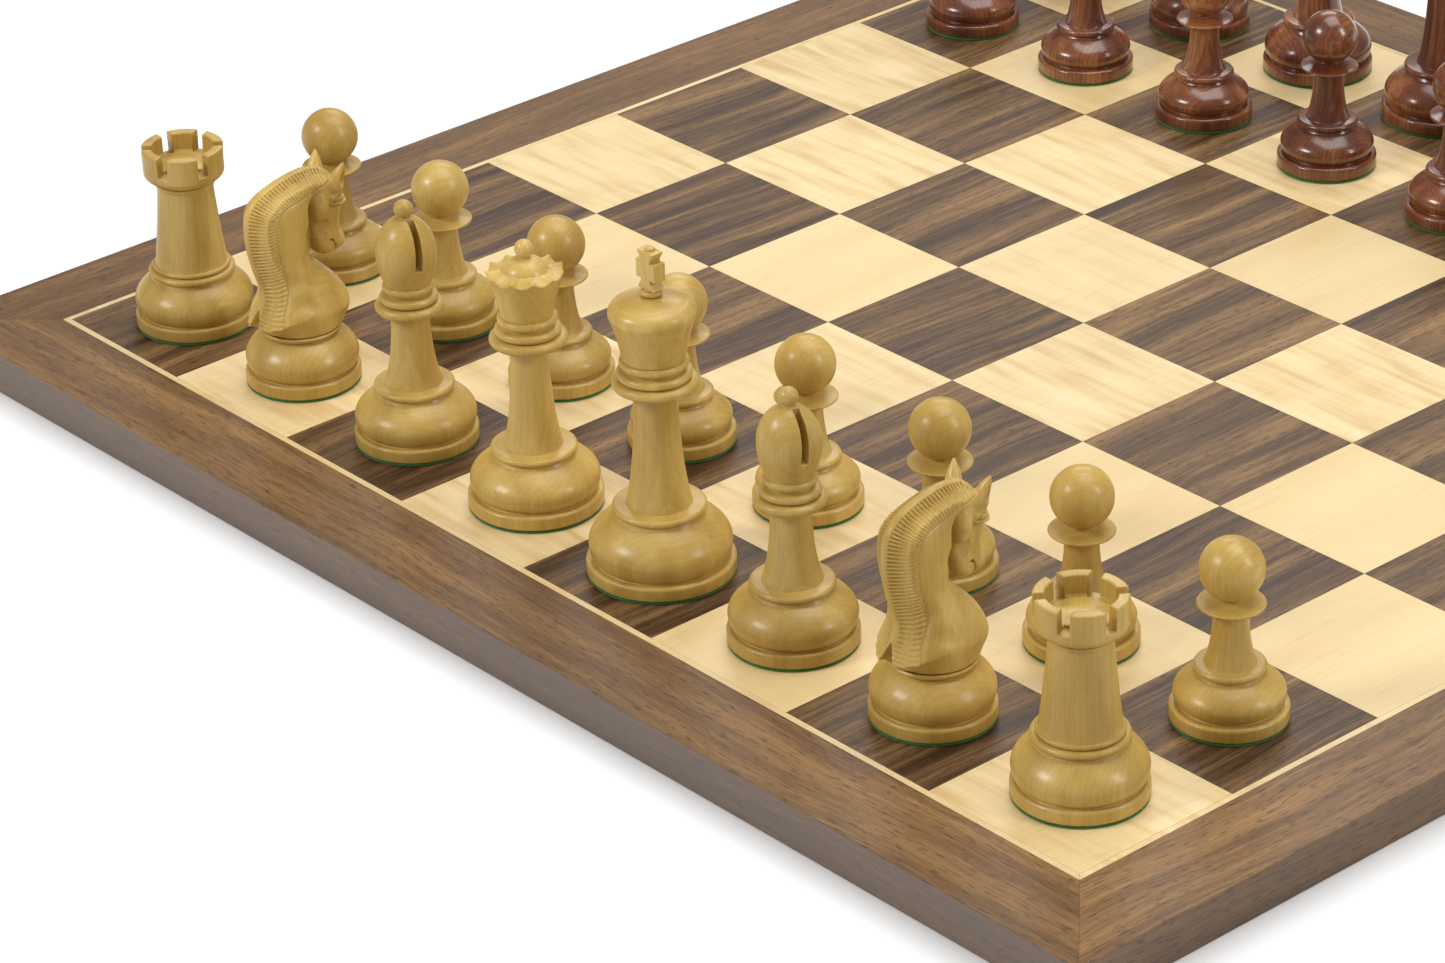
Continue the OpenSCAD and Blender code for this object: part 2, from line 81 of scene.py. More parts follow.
# Diameter of the plinth, how far the bulb stays inside it, diameter above the bulb, height of the bulb
FEET = {"pawn": (32, 1.0, 17.2, PAWN_BULB_H), "rook": (36.5, 0.2, 24.2, BULB_H),
        "knight": (34.6, 0.3, 22.6, BULB_H), "bishop": (36.5, 0.4, 21.6, BULB_H),
        "queen": (39, 0.8, 22.8, BULB_H), "king": (42, 0.9, 24.4, KING_BULB_H)}


def foot(kind):
    """Plinth, groove and bulb."""
    base, bulb_in, neck_d, h = FEET[kind]
    r = base / 2
    b = r - bulb_in
    inner, belly, neck, top = b - 1.4, BULB_Z + 0.3 * h, neck_d / 2, BULB_Z + h
    return [
        dots([0, WOOD_Z], [r - 0.35, WOOD_Z], [r, WOOD_Z + 0.35]),
        arc(r - 1, PLINTH_Z - 1, 1, 0, 90, 8),
        dots([inner + 0.2, PLINTH_Z - 0.02], [inner, PLINTH_Z + 0.15], [inner, BULB_Z - 0.15]),
        bow([inner + 0.2, BULB_Z], [b - 0.3, BULB_Z + 0.4], [b, belly - 0.1 * h], [b, belly], 10),
        bow([b, belly], [b, belly + 0.27 * h], [neck + 0.42 * (b - neck), top - 0.2 * h],
            [neck + 0.1 * (b - neck), top - 0.09 * h], 16),
    ]


def ledge_and_stem(ledge_d, stem_d, z, h):
    """Ledge that ends at height z, and the stem of height h on it."""
    r, t = ledge_d / 2, stem_d / 2
    f = 0.4 * stem_d + 0.3 * r + 0.35
    return [rim(r, z - LEDGE, LEDGE),
            bow([f, z + 0.1], [t + 0.42 * (f - t), z + 0.2 * h], [t, z + 0.6 * h], [t, z + h], 18)]


FLARE_H, DISC_T, BEAD_T = 2.2, 2.8, 2.4
# Heights above the stem of the lower bead, the upper bead and the head
LOWER_BEAD_Z = FLARE_H + DISC_T + 0.2
UPPER_BEAD_Z = LOWER_BEAD_Z + BEAD_T + 1
COLLAR_H = UPPER_BEAD_Z + BEAD_T


def collars(stem_d, disc_d, lower_d, upper_d, z):
    """Disc and two beads on the stem's end at height z."""
    stem_r, disc_z, lower_z, upper_z = stem_d / 2, z + FLARE_H, z + LOWER_BEAD_Z, z + UPPER_BEAD_Z
    return [
        bow([stem_r, z], [stem_r + 0.1, z + 1.2], [stem_r + 1, disc_z - 0.2], [disc_d / 2 - 1.6, disc_z], 6),
        rim(disc_d / 2, disc_z, DISC_T),
        dots([lower_d / 2 - 1.1, lower_z - 0.1]),
        rim(lower_d / 2, lower_z, BEAD_T),
        dots([upper_d / 2 - 1.3, upper_z - 0.75], [upper_d / 2 - 1.3, upper_z - 0.3]),
        rim(upper_d / 2, upper_z, BEAD_T),
    ]


# Points closer than this are one, in mm; a turn above SHARP radians is a corner
SAME, SHARP = 0.02, 0.4


def eased(parts, radius=0.22):
    """Outline with each sharp corner worn to a small radius."""
    p = np.concatenate(parts)
    keep = [0]
    for i in range(1, len(p)):
        if np.hypot(*(p[i] - p[keep[-1]])) > SAME:
            keep.append(i)
    p = p[keep]
    out = [p[0]]
    for i in range(1, len(p) - 1):
        u, v = p[i - 1] - p[i], p[i + 1] - p[i]
        lu, lv = np.hypot(*u), np.hypot(*v)
        turn = math.pi - math.acos(np.clip(u @ v / (lu * lv), -1, 1))
        if turn < SHARP:
            out.append(p[i])
            continue
        cut = min(radius * math.tan(turn / 2), 0.45 * lu, 0.45 * lv)
        a, b = p[i] + u / lu * cut, p[i] + v / lv * cut
        for t in np.linspace(0, 1, 5):
            out.append((1 - t) ** 2 * a + 2 * (1 - t) * t * p[i] + t * t * b)
    out.append(p[-1])
    return np.array(out)


# ---------- meshes ----------

def new_mesh(name, verts, faces):
    """Smooth-shaded Blender mesh."""
    me = bpy.data.meshes.new(name)
    me.from_pydata([tuple(v) for v in verts], [], [tuple(int(i) for i in f) for f in faces])
    me.validate()
    me.polygons.foreach_set("use_smooth", [True] * len(me.polygons))
    me.update()
    return me


def lathe(outline, segments=112):
    """Vertices and faces of the turned outline; points on the axis become one vertex."""
    verts, rings = [], []
    a = np.linspace(0, 2 * math.pi, segments, endpoint=False)
    for r, z in outline:
        if r < 1e-6:
            rings.append([len(verts)])
            verts.append((0, 0, z))
        else:
            rings.append(list(range(len(verts), len(verts) + segments)))
            verts += [(r * math.cos(t), r * math.sin(t), z) for t in a]
    faces = []
    for lo, hi in zip(rings, rings[1:]):
        for i in range(segments):
            j = (i + 1) % segments
            f = [lo[i % len(lo)], lo[j % len(lo)], hi[j % len(hi)], hi[i % len(hi)]]
            f = [v for k, v in enumerate(f) if v not in f[:k]]
            if len(f) > 2:
                faces.append(f)
    return np.array(verts), faces


def surface_nets(field, low, high, step):
    """Mesh of field(x, y, z) = 0, with field below zero inside."""
    n = [int(math.ceil((h - l) / step)) + 1 for l, h in zip(low, high)]
    axes = [l + step * np.arange(k) for l, k in zip(low, n)]
    x, y, z = np.meshgrid(*axes, indexing="ij", sparse=True)
    f = np.asarray(field(x, y, z), np.float32)
    inside = f < 0
    cells = tuple(k - 1 for k in n)
    total = np.zeros(cells + (3,), np.float32)
    count = np.zeros(cells, np.float32)
    for axis in range(3):
        lo = [slice(None)] * 3
        hi = [slice(None)] * 3
        lo[axis], hi[axis] = slice(0, -1), slice(1, None)
        fa, fb = f[tuple(lo)], f[tuple(hi)]
        cross = inside[tuple(lo)] != inside[tuple(hi)]
        t = np.where(cross, fa / np.where(cross, fa - fb, 1), 0)
        others = [k for k in range(3) if k != axis]
        for da in (0, 1):
            for db in (0, 1):
                part = [slice(None)] * 3
                part[others[0]] = slice(da, da + cells[others[0]])
                part[others[1]] = slice(db, db + cells[others[1]])
                c, tt = cross[tuple(part)], t[tuple(part)]
                total[..., axis] += tt
                total[..., others[0]] += c * da
                total[..., others[1]] += c * db
                count += c
    used = count > 0
    index = -np.ones(cells, np.int64)
    index[used] = np.arange(used.sum())
    where = np.argwhere(used)
    verts = np.array(low) + step * (where + total[used] / count[used][:, None])
    faces = []
    for axis in range(3):
        lo = [slice(None)] * 3
        hi = [slice(None)] * 3
        lo[axis], hi[axis] = slice(0, -1), slice(1, None)
        a_in, b_in = inside[tuple(lo)], inside[tuple(hi)]
        e = np.argwhere(a_in != b_in)
        o1, o2 = (axis + 1) % 3, (axis + 2) % 3
        e = e[(e[:, o1] > 0) & (e[:, o2] > 0) & (e[:, o1] < n[o1] - 1) & (e[:, o2] < n[o2] - 1)]
        out = a_in[tuple(e.T)]
        q = []
        for d1, d2 in ((1, 1), (0, 1), (0, 0), (1, 0)):
            c = e.copy()
            c[:, o1] -= d1
            c[:, o2] -= d2
            q.append(index[tuple(c.T)])
        q = np.stack(q, 1)
        q[~out] = q[~out][:, ::-1]
        faces.append(q)
    faces = np.concatenate(faces)
    # settle the vertices on the surface
    d = 0.25 * step
    for _ in range(3):
        vx, vy, vz = verts.T
        f0 = field(vx, vy, vz)
        g = np.stack([field(vx + d, vy, vz) - field(vx - d, vy, vz),
                      field(vx, vy + d, vz) - field(vx, vy - d, vz),
                      field(vx, vy, vz + d) - field(vx, vy, vz - d)], 1) / (2 * d)
        move = -(f0 / np.maximum((g * g).sum(1), 0.25))[:, None] * g
        verts = verts + np.clip(move, -0.5 * step, 0.5 * step)
    return verts, faces.tolist()


def joined(*shapes):
    """Several (vertices, faces) as one."""
    verts, faces, base = [], [], 0
    for v, f in shapes:
        verts.append(v)
        faces += [[i + base for i in q] for q in f]
        base += len(v)
    return np.concatenate(verts), faces


def smax(a, b, k):
    """Greater of a and b, rounded over a width of k."""
    h = np.clip(0.5 + 0.5 * (a - b) / k, 0, 1)
    return b + (a - b) * h + k * h * (1 - h)


def smin(a, b, k):
    """Lesser of a and b, rounded over a width of k."""
    return -smax(-a, -b, k)


def turned_solid(outline, x, y, z):
    """Distance to a solid of revolution whose outline is (r, z) with z rising."""
    r = np.sqrt(x * x + y * y)
    slope = np.gradient(outline[:, 0], outline[:, 1])
    lean = np.interp(z, outline[:, 1], np.sqrt(1 + slope * slope))
    return (r - np.interp(z, outline[:, 1], outline[:, 0])) / lean


# ---------- the men ----------

def pawn_shape():
    stem_d, stem_h = 9.4, 15.8
    collar_r, head_r = 9.2, 8.75
    neck_r = 2 * head_r * 0.235
    z = PAWN_Z + stem_h
    neck_z = z + 4.1
    head_z = neck_z + math.sqrt(head_r * head_r - neck_r * neck_r)
    start = math.degrees(math.atan2(neck_z - head_z, neck_r))
    return lathe(eased(foot("pawn") + ledge_and_stem(19.6, stem_d, PAWN_Z, stem_h) + [
        bow([stem_d / 2, z], [stem_d / 2 + 0.2, z + 0.9],
            [collar_r - 3, z + 1.1], [collar_r - 0.5, z + 1.35], 8),
        rim(collar_r, z + 1.4, 0.8, 8),
        bow([collar_r - 0.6, z + 2.25], [collar_r - 2, z + 2.6], [neck_r + 1.4, z + 3], [neck_r, neck_z], 8),
        arc(0, head_z, head_r, start, 90, 40)]))


def rook_shape():
    cuts, cut_half_w, first_cut = 6, 1.6, -6
    body_z = OFFICER_Z + 2.2
    turret_z = body_z + 26.4
    wall_z = turret_z + 2.9
    top = wall_z + 8.2
    bowl = top - 5.6
    outer = 12.5
    hollow = outer - 3.2
    lower = eased(foot("rook") + [
        rim(13.2, OFFICER_Z - LEDGE, LEDGE),
        rim(11.9, OFFICER_Z + 0.1, 1.5, 8),
        bow([10.9, body_z], [9.9, body_z + 7.9], [8.8, turret_z - 7.9], [8.5, turret_z - 1.5], 18),
        dots([9.0, turret_z - 1.35], [9.05, turret_z - 0.2], [7.5, turret_z - 0.1], [0, turret_z - 0.1])])
    flank = np.concatenate([
        dots([8.9, turret_z - 3]),
        bow([9.2, turret_z], [10.2, turret_z + 0.9], [11.8, wall_z - 1.6], [12.3, wall_z], 10),
        dots([outer, top], [outer, top + 3])])

    def field(x, y, z):
        r = np.sqrt(x * x + y * y)
        f = smax(turned_solid(flank, x, y, z), z - top, 0.5)
        f = smax(f, turret_z - z, 0.3)
        inside = smax(r - hollow + 0.05 * (top - z), bowl + 1.0 - 0.1 * r - z, 0.4)
        f = smax(f, -inside, 0.5)
        for i in range(cuts):
            a = math.radians(first_cut + 360 // cuts * i)
            along = x * math.cos(a) + y * math.sin(a)
            across = np.abs(-x * math.sin(a) + y * math.cos(a)) - cut_half_w
            slot = smax(smax(across, hollow - 1.4 - along, 0.3), top - 6.4 - z, 0.3)
            f = smax(f, -slot, 0.35)
        return f

    turret = surface_nets(field, (-13.2, -13.2, turret_z - 0.6), (13.2, 13.2, top + 0.6), 0.3)
    return joined(lathe(lower), turret)


def bishop_shape():
    stem_d, stem_h = 11.4, 21
    tilt, turn = math.radians(4), math.radians(-12)
    cut_half_w, cut_low, cut_deep = 1.05, 3.3, 2.5
    ball_r = 2.85
    z = OFFICER_Z + stem_h
    m = z + COLLAR_H
    r, top, wide = 8.9, m + 20.8, m + 9.5
    ball = top + 2.2
    lower = eased(foot("bishop") + ledge_and_stem(23.8, stem_d, OFFICER_Z, stem_h)
                  + collars(stem_d, 20.2, 17.2, 15.2, z) + [dots([6.6, m - 0.1], [0, m - 0.1])])
    flank = np.concatenate([
        dots([6.5, m - 1]), bow([6.9, m + 0.2], [7.7, m + 2], [r, wide - 3.4], [r, wide], 20),
        bow([r, wide], [r, wide + 5.8], [0.62 * r, top - 1.5], [1.7, top], 24)[1:],
        dots([0.3, top + 0.7], [0.25, top + 6])])

    def field(x, y, z):
        f = smax(turned_solid(flank, x, y, z), z - top - 1.2, 0.3)
        f = smax(f, m - 0.2 - z, 0.2)
        out = x * math.cos(turn) + y * math.sin(turn)
        side = -x * math.sin(turn) + y * math.cos(turn)
        v = (z - wide) * math.cos(tilt) + side * math.sin(tilt)
        side = np.abs(side * math.cos(tilt) - (z - wide) * math.sin(tilt)) - cut_half_w
        cut = smax(smax(side, cut_deep - out, 0.3), -cut_low - v, 0.2)
        f = smax(f, -cut, 0.25)
        q = np.sqrt(x * x + y * y + ((z - ball) * 1.06) ** 2) - ball_r
        return smin(f, q, 0.35)

    mitre = surface_nets(field, (-9.6, -9.6, m - 0.8), (9.6, 9.6, ball + 3.6), 0.26)
    return joined(lathe(lower), mitre)


def queen_shape():
    stem_d, stem_h = 11, 30
    scallops, first, bite_r, bite_up = 11, 0.35, 3.3, 1.95
    ball_r = 2.7
    z = OFFICER_Z + stem_h
    m = z + COLLAR_H
    rim_z, rim_r = m + 13.6, 11.4
    foot_r = 0.66 * rim_r
    dome_z, dome_r = rim_z - 1.4, 6.9
    ball = rim_z + 6.4
    lower = eased(foot("queen") + ledge_and_stem(25, stem_d, OFFICER_Z, stem_h)
                  + collars(stem_d, 22.4, 2 * foot_r + 4, 2 * foot_r + 2.2, z)
                  + [dots([foot_r - 0.4, m - 0.1], [0, m - 0.1])])
    flank = np.concatenate([
        dots([foot_r - 0.3, m - 1]),
        bow([foot_r, m + 0.2], [foot_r + 0.6, m + 4], [rim_r - 1.6, rim_z - 3.6], [rim_r, rim_z + 0.4], 24),
        dots([rim_r + 1.2, rim_z + 4])])

    def field(x, y, z):
        r = np.sqrt(x * x + y * y)
        cup = smax(turned_solid(flank, x, y, z), z - rim_z - 0.1, 0.25)
        cup = smax(cup, m - 0.2 - z, 0.2)
        turn = np.arctan2(y, x) * scallops / (2 * math.pi)
        phase = (turn + first - np.round(turn + first)) * 2 * math.pi / scallops
        across = r * np.sin(phase)
        depth = z - (rim_z + bite_up) + 0.30 * (r - rim_r)
        flute = np.sqrt(across ** 2 + depth ** 2) - bite_r
        flute = smax(flute, 6.8 - r, 0.6)
        cup = smax(cup, -flute, 0.4)
        dome = (np.sqrt(r * r + ((z - dome_z) * 1.28) ** 2) - dome_r) * 0.9
        dome = smax(dome, rim_z - 4 - z, 0.2)
        f = smin(cup, dome, 0.25)
        q = np.sqrt(x * x + y * y + (z - ball) ** 2) - ball_r
        return smin(f, q, 0.5)

    coronet = surface_nets(field, (-12.6, -12.6, m - 0.8), (12.6, 12.6, ball + 3.3), 0.27)
    return joined(lathe(lower), coronet)


KING_STEM_H, CROWN_H = 33.7, 18.8
KING_TOP = KING_Z + KING_STEM_H + COLLAR_H + CROWN_H


def king_shape():
    stem_d = 12.4
    z = KING_Z + KING_STEM_H
    m = z + COLLAR_H
    r, soft, dome = 12.25, 3.4, 1.9
    foot_r = 0.73 * r
    top = m + CROWN_H
    rim_z = top - dome - soft
    return lathe(eased(foot("king") + ledge_and_stem(26.6, stem_d, KING_Z, KING_STEM_H)
                       + collars(stem_d, 24, 2 * foot_r + 3.4, 2 * foot_r + 1.6, z) + [
        dots([foot_r - 0.4, m]),
        bow([foot_r, m + 0.3], [foot_r + 0.5, m + 4], [r - 1.6, rim_z - 4.4], [r, rim_z - 0.4], 20),
        arc(r - soft, rim_z, soft, 5, 75, 14),
        bow([r - soft + 0.6, rim_z + soft - 0.03], [0.6 * r, rim_z + soft + 0.6 * dome],
            [0.3 * r, top], [0, top], 12)]))


def cross_shape():
    """Cross with V-shaped corners, its neck, the bead under it and the button on top."""
    half_w, half_h, half_t = 3.9, 5.6, 2.0
    waist, bar_half_h = 1.9, 2.5
    mid = KING_TOP + 2.0 + half_h

    def disc(r, z, flat_r, edge):
        return np.sqrt(np.maximum(r - flat_r, 0) ** 2 + z ** 2) - edge

    def field(x, y, z):
        r = np.sqrt(x * x + y * y)
        ax, av = np.abs(x), np.abs(z - mid)
        body = smax(ax - half_w, av - half_h, 0.25)
        upright = ax - waist - 0.55 * np.maximum(av - 3.0, 0)
        bar = av - bar_half_h - 0.14 * np.maximum(ax - waist, 0)
        f = smax(body, np.minimum(upright, bar), 0.15)
        f = smax(f, np.abs(y) - half_t, 0.3)
        f = smin(f, disc(r, z - KING_TOP - 0.8, 2.3, 0.9), 0.1)
        f = smin(f, smax(r - waist, np.abs(z - KING_TOP - 1.8) - 0.7, 0.1), 0.1)
        return smin(f, disc(r, z - mid - half_h - 0.4, 0.8, 0.6), 0.15)

    return surface_nets(field, (-4.6, -3.8, KING_TOP - 0.6), (4.6, 3.8, mid + half_h + 1.6), 0.16)


def knight_base_shape():
    """Foot that ends in a shallow cup; the carved head stands in it."""
    seat_r = 12.4
    z = KNIGHT_Z
    return lathe(eased(foot("knight") + [
        bow([10.8, z - 2.2], [11.2, z - 1.7], [seat_r, z - 1.3], [seat_r, z - 0.5], 8),
        dots([seat_r - 0.4, z - 0.1], [seat_r - 1.2, z - 0.25], [0, z - 0.25])]))


def curve(points, n=12):
    """Smooth line through the points (Catmull-Rom)."""
    p = np.array(points, float)
    p = np.vstack([2 * p[0] - p[1], p, 2 * p[-1] - p[-2]])
    t = np.linspace(0, 1, n, endpoint=False)[:, None]
    out = []
    for a, b, c, d in zip(p, p[1:], p[2:], p[3:]):
        out.append(0.5 * (2 * b + (c - a) * t + (2 * a - 5 * b + 4 * c - d) * t ** 2
                          + (3 * b - a - 3 * c + d) * t ** 3))
    return np.vstack(out + [p[-2:-1]])


def to_line(y, z, line):
    """Distance to an open line of points, how far along it the nearest spot is, and the line's length."""
    best = np.full(y.shape, 1e9)
    along = np.zeros(y.shape)
    gone = 0.0
    for (y0, z0), (y1, z1) in zip(line, line[1:]):
        dy, dz = y1 - y0, z1 - z0
        size = max(math.hypot(dy, dz), 1e-6)
        t = np.clip(((y - y0) * dy + (z - z0) * dz) / size ** 2, 0, 1)
        d = np.hypot(y - y0 - t * dy, z - z0 - t * dz)
        near = d < best
        best = np.where(near, d, best)
        along = np.where(near, gone + t * size, along)
        gone += size
    return best, along, gone


def within(y, z, line):
    """True inside the closed outline."""
    hit = np.zeros(y.shape, bool)
    for (y0, z0), (y1, z1) in zip(line, np.roll(line, -1, 0)):
        if z0 != z1:
            hit ^= ((z0 > z) != (z1 > z)) & (y < (y1 - y0) * (z - z0) / (z1 - z0) + y0)
    return hit


def hill(y, z, centre, size, turn=0.0):
    """Smooth rise of height 1, an ellipse turned by so many degrees."""
    c, s = math.cos(math.radians(turn)), math.sin(math.radians(turn))
    u = ((y - centre[0]) * c + (z - centre[1]) * s) / size[0]
    v = (-(y - centre[0]) * s + (z - centre[1]) * c) / size[1]
    return np.clip(1 - u * u - v * v, 0, 1) ** 0.75


def stroke(y, z, points, width):
    """1 on the line, falling to 0 at half the width either side."""
    d = to_line(y, z, np.array(points, float))[0]
    return np.clip(1 - (2 * d / width) ** 2, 0, 1)


# The knight's head from the side, as (y, z): the back of the neck with the mane's crest
CREST = curve([(9.8, 66.7), (3.4, 67.6), (-4.9, 66.3), (-12.0, 63.6), (-15.9, 59.8), (-17.2, 54.4),
               (-16.9, 47.6), (-15.2, 40.0), (-13.3, 33.4), (-14.2, 28.2), (-17.9, 22.6)])
# The face, throat and chest
FRONT = curve([(9.8, 66.7), (12.3, 65.0), (14.4, 62.2), (16.2, 59.0), (17.3, 55.6), (16.3, 52.0),
               (15.7, 48.6), (16.1, 45.2), (17.1, 42.6), (16.5, 40.2), (14.6, 38.9), (12.2, 38.4),
               (9.4, 38.2), (7.0, 39.8), (5.2, 41.6), (4.3, 41.9), (4.1, 40.8), (5.6, 38.8),
               (8.9, 35.4), (12.6, 31.5), (15.1, 27.6), (16.1, 23.9), (15.0, 20.4), (12.9, 17.4),
               (12.4, 14.0), (12.4, 0.0)])
# The mane's edge on the neck
HEM = curve([(9.9, 63.2), (5.5, 62.4), (0.2, 61.2), (-4.0, 60.4), (-8.0, 59.0), (-10.4, 56.0),
             (-11.0, 52.0), (-10.7, 47.0), (-9.8, 41.5), (-8.8, 36.4), (-8.9, 31.2), (-10.9, 25.4),
             (-12.4, 21.6), (-13.0, 18.0)])
# Cuts along the mane
NOTCHES = 56
# Spots on the head: y, z, half thickness there and radius of the edge
BUILD = np.array([
    (0, 17, 12.2, 12.6), (6, 20, 12.4, 13.5), (-6, 19, 12.4, 12.8), (2, 24, 12.5, 14.5), (-7, 24, 12.4, 13.5),
    (8, 25, 12.2, 13.5), (1, 30, 11.0, 13.0), (-6, 31, 10.2, 12.0), (8, 31, 10.8, 12.0), (0, 36, 9.0, 11.0),
    (-8, 38, 8.4, 10.5), (-4, 43, 7.6, 9.2), (-10, 46, 7.4, 9.4), (-7, 51, 7.2, 9.0), (-9, 57, 7.0, 8.6),
    (-3, 57, 6.9, 8.4), (-2, 62, 6.4, 7.6), (4, 63, 6.2, 6.4), (4, 60, 6.3, 6.2), (9, 62, 6.0, 5.0),
    (7, 55, 6.2, 4.6), (12, 58, 5.7, 4.4), (12, 53, 5.0, 4.0), (13, 48, 4.2, 3.4), (9, 47, 4.2, 3.2),
    (14, 43, 4.1, 3.2), (9, 42, 3.9, 2.8), (6, 45, 3.6, 2.6)], float)
# How far the spots blend into each other
SPREAD = 2.6


def knight_relief(y, z):
    """Half thickness of the head at (y, z), edge radius, depth inside the outline, distance to the crest."""
    outline = np.vstack([FRONT, [(-11.6, 0.0), (-11.9, 18.6), (-14.6, 20.6), (-16.9, 21.6)], CREST[::-1]])
    depth, _, _ = to_line(y, z, np.vstack([outline, outline[:1]]))
    depth = np.where(within(y, z, outline), depth, -depth)
    gap = (y[..., None] - BUILD[:, 0]) ** 2 + (z[..., None] - BUILD[:, 1]) ** 2
    w = np.exp(-gap / (2 * SPREAD ** 2)) + 1e-9
    a = (w * BUILD[:, 2]).sum(-1) / w.sum(-1)
    r = (w * BUILD[:, 3]).sum(-1) / w.sum(-1)
    edge = np.sqrt(np.clip(1 - (1 - np.clip(depth / r, 0, 1)) ** 2, 0, 1))
    half = a * edge

    # the mane: an outer row of deep cuts and an inner row of shallow slanting ones
    far, along, total = to_line(y, z, CREST)
    near_hem, _, _ = to_line(y, z, HEM)
    s = along / total
    t = far / (far + near_hem)
    mane = within(y, z, np.vstack([CREST, HEM[::-1]]))
    slope = np.interp(s, [0, 0.75, 0.9, 1], [1.35, 1.35, 1.6, 1.9])
    half = np.where(mane, np.minimum(half, 0.75 + slope * far), half)
    beat = s * NOTCHES
    outer = np.clip(1 - np.abs(beat % 1 - 0.5) / 0.36, 0, 1)
    outer *= np.clip((far - 0.3) / 0.3, 0, 1) * np.clip((0.56 - t) / 0.25, 0, 1)
    slant = beat + 2.2 * (t - 0.5) * np.clip((s - 0.12) * 6, -0.3, 1)
    inner = np.clip(1 - np.abs(slant % 1 - 0.5) / 0.28, 0, 1)
    inner *= np.clip((t - 0.53) / 0.08, 0, 1) * np.clip((0.95 - t) / 0.06, 0, 1)
    shelf = 0.4 * np.clip(near_hem / 0.35, 0, 1) - 0.2 * np.clip(1 - np.abs(t - 0.53) / 0.08, 0, 1)
    cut = np.where(mane, 1.5 * outer + 0.55 * inner - shelf, 0)
    cut += 0.35 * np.clip(1 - near_hem / 0.4, 0, 1) * (z > KNIGHT_Z)

    # the hollow behind the cheek and under the jaw
    gully = curve([(4.6, 59.6), (2.9, 57.4), (2.7, 53.6), (3.2, 49.4), (4.2, 45.6), (4.6, 42.6)])
    d, k, total = to_line(y, z, gully)
    side = np.interp(y, [2, 4], [0.9, 1.5])
    deep = np.interp(k / total, [0, 0.2, 0.5, 0.8, 1], [1.2, 3.4, 4.2, 4.0, 2.6])
    cut += deep * np.exp(-(d / side) ** 2)
    cut += 1.5 * hill(y, z, (6.8, 48.4), (3.4, 3.4))
    # cheek, brow, lids, wrinkles, nostril and mouth
    cut -= 0.9 * hill(y, z, (6.3, 55.6), (2.9, 5.2), 8) + 0.4 * hill(y, z, (7.4, 57.5), (3.4, 3.6))
    cut += 0.8 * hill(y, z, (10.9, 53.4), (2.0, 4.2), 12) + 0.6 * hill(y, z, (11.6, 46.8), (2.2, 4.4), 8)
    cut -= 1.1 * hill(y, z, (13.6, 57.0), (4.4, 2.8), -8)
    cut -= 0.55 * stroke(y, z, [(10.2, 58.0), (12.4, 59.2), (15.2, 58.8), (17.0, 57.6)], 1.5)
    cut -= 0.7 * stroke(y, z, [(10.6, 55.6), (13.2, 55.3), (16.8, 55.4)], 1.3)
    cut += 0.6 * stroke(y, z, [(10.4, 57.0), (12.4, 57.9), (15.0, 57.7), (16.6, 56.8)], 0.6)
    cut += 0.6 * stroke(y, z, [(10.8, 56.3), (13.0, 56.2), (15.6, 56.2)], 0.5)
    cut += 0.5 * stroke(y, z, [(11.0, 54.4), (13.4, 54.1), (15.6, 54.0)], 0.6)
    wrinkles = (((13.4, 51.2), (16.0, 52.2)), ((13.6, 49.9), (15.8, 50.8)), ((13.8, 48.7), (15.6, 49.4)))
    for wrinkle in wrinkles:
        cut += 0.45 * stroke(y, z, wrinkle, 0.6)
    cut -= 0.5 * hill(y, z, (14.2, 42.6), (2.6, 2.8))
    cut += 1.3 * stroke(y, z, [(10.9, 43.3), (11.3, 43.2)], 0.9)
    cut += 0.9 * stroke(y, z, [(10.2, 43.5), (11.5, 43.1), (12.0, 41.4), (11.8, 38.6)], 0.5)
    crest = np.where((s > 0.002) & (s < 0.998), far, 9.0)
    half = np.maximum(half - cut * np.clip(edge * 1.6, 0, 1), 0.8)
    return half / np.maximum(edge, 0.12), r, depth, crest


